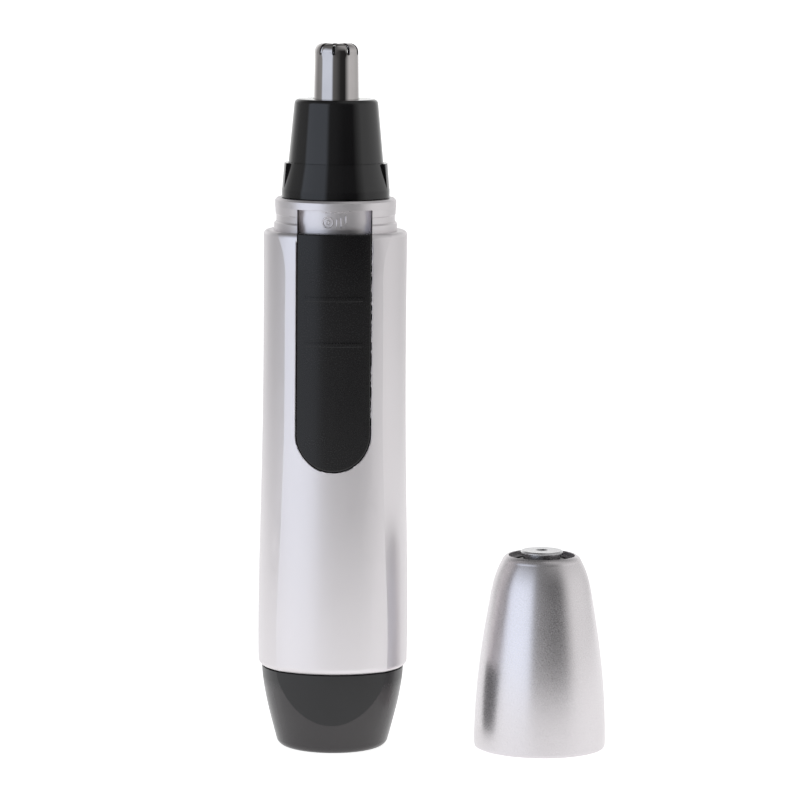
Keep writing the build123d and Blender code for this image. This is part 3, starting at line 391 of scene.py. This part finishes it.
# Elevations, in degrees, between which the low band gives way to the high one.
BAND_BOTTOM = 15
BAND_TOP = 50
# Below the horizon the panels fade to this share of their brightness, over this many degrees.
UNDER_SHARE = 0.7
UNDER_FADE = 9
TABLE_RADIUS = 0.45


def calculate(tree, operation, first, second=None, clamp=False):
    """Math node; each input is a number or a socket."""
    node = tree.nodes.new("ShaderNodeMath")
    node.operation = operation
    node.use_clamp = clamp
    for socket, value in zip(node.inputs, (first, second)):
        if isinstance(value, (int, float)):
            socket.default_value = value
        elif value is not None:
            tree.links.new(value, socket)
    return node.outputs["Value"]


def make_floor():
    """Plain white floor, burnt out as in a tent; reflections and bounced light see a table's width of it."""
    mesh = bpy.data.meshes.new("floor")
    half = 12.0
    corners = [(-half, -half, 0), (half, -half, 0), (half, half, 0), (-half, half, 0)]
    mesh.from_pydata(corners, [], [(0, 1, 2, 3)])
    floor = bpy.data.objects.new("floor", mesh)
    floor.location.z = cad_box[0].z - 0.05 * MM
    SCENE.collection.objects.link(floor)
    material, tree, shader = new_material("floor_white")
    shader.inputs["Base Color"].default_value = (0.8, 0.8, 0.8, 1.0)
    shader.inputs["Roughness"].default_value = 0.9
    shader.inputs["Emission Color"].default_value = (1.0, 1.0, 1.0, 1.0)
    path = tree.nodes.new("ShaderNodeLightPath")
    glow = calculate(tree, "MULTIPLY_ADD", path.outputs["Is Camera Ray"], 0.15)
    glow.node.inputs[2].default_value = 0.78
    tree.links.new(glow, shader.inputs["Emission Strength"])
    place = tree.nodes.new("ShaderNodeNewGeometry")
    reach = tree.nodes.new("ShaderNodeVectorMath")
    reach.operation = "LENGTH"
    tree.links.new(place.outputs["Position"], reach.inputs[0])
    beyond = calculate(tree, "GREATER_THAN", reach.outputs["Value"], TABLE_RADIUS)
    unseen = calculate(tree, "SUBTRACT", beyond, path.outputs["Is Camera Ray"], True)
    clear = tree.nodes.new("ShaderNodeBsdfTransparent")
    blend = tree.nodes.new("ShaderNodeMixShader")
    tree.links.new(unseen, blend.inputs["Fac"])
    tree.links.new(shader.outputs["BSDF"], blend.inputs[1])
    tree.links.new(clear.outputs["BSDF"], blend.inputs[2])
    surface = next(node for node in tree.nodes if node.type == "OUTPUT_MATERIAL").inputs["Surface"]
    tree.links.new(blend.outputs["Shader"], surface)
    mesh.materials.append(material)


def quarter(level):
    """Brightness as the ramps hold it, which is a quarter of what the background gives out."""
    if isinstance(level, tuple):
        return tuple(part / 4 for part in level)
    return level / 4


def light_stage():
    """Light tent: bright panel at the front left, dark gap at the front, softer sides and back."""
    world = bpy.data.worlds.new("surround")
    SCENE.world = world
    world.use_nodes = True
    tree = world.node_tree
    tree.nodes.clear()
    coords = tree.nodes.new("ShaderNodeTexCoord")
    split = tree.nodes.new("ShaderNodeSeparateXYZ")
    tree.links.new(coords.outputs["Generated"], split.inputs["Vector"])
    behind = calculate(tree, "MULTIPLY", split.outputs["Y"], -1.0)
    azimuth = calculate(tree, "ARCTAN2", split.outputs["X"], behind)
    turn = calculate(tree, "MULTIPLY_ADD", azimuth, 1 / (2 * pi))
    turn.node.inputs[2].default_value = 0.5
    low = ramp(tree, turn, [((angle + 180) / 360, quarter(level)) for angle, level in LOW_BAND])
    high = ramp(tree, turn, [((angle + 180) / 360, quarter(level)) for angle, level in HIGH_BAND])
    elevation = calculate(tree, "ARCSINE", split.outputs["Z"])
    above = calculate(tree, "SUBTRACT", elevation, radians(BAND_BOTTOM))
    rise = calculate(tree, "DIVIDE", above, radians(BAND_TOP - BAND_BOTTOM), True)
    sunk = calculate(tree, "DIVIDE", elevation, -radians(UNDER_FADE), True)
    kept = calculate(tree, "MULTIPLY_ADD", sunk, UNDER_SHARE - 1)
    kept.node.inputs[2].default_value = 1.0
    bands = tree.nodes.new("ShaderNodeMix")
    bands.data_type = "RGBA"
    tree.links.new(rise, bands.inputs["Factor"])
    tree.links.new(low, bands.inputs["A"])
    tree.links.new(high, bands.inputs["B"])
    background = tree.nodes.new("ShaderNodeBackground")
    tree.links.new(calculate(tree, "MULTIPLY", kept, 4.0), background.inputs["Strength"])
    output = tree.nodes.new("ShaderNodeOutputWorld")
    tree.links.new(bands.outputs["Result"], background.inputs["Color"])
    tree.links.new(background.outputs["Background"], output.inputs["Surface"])


def make_camera():
    """Long lens, a little above the object and tilted down at it."""
    eye = Vector((12.6, -783.0, 164.0)) * MM
    aim = Vector((12.6, 0.0, 67.2)) * MM
    focal_pixels = 4110.0
    roll = radians(0.5)
    data = bpy.data.cameras.new("camera")
    data.sensor_width = 36.0
    data.lens = data.sensor_width * focal_pixels / PHOTO_SIDE
    data.clip_start, data.clip_end = 0.05, 60.0
    camera = bpy.data.objects.new("camera", data)
    level = (aim - eye).to_track_quat("-Z", "Y").to_matrix().to_4x4()
    camera.matrix_world = Matrix.Translation(eye) @ level @ Matrix.Rotation(roll, 4, "Z")
    SCENE.collection.objects.link(camera)
    SCENE.camera = camera


SCENE.view_settings.view_transform = "Standard"
dress_cad_nodes()
mark_land()
wear_window()
edge_ribs()
make_floor()
light_stage()
make_camera()
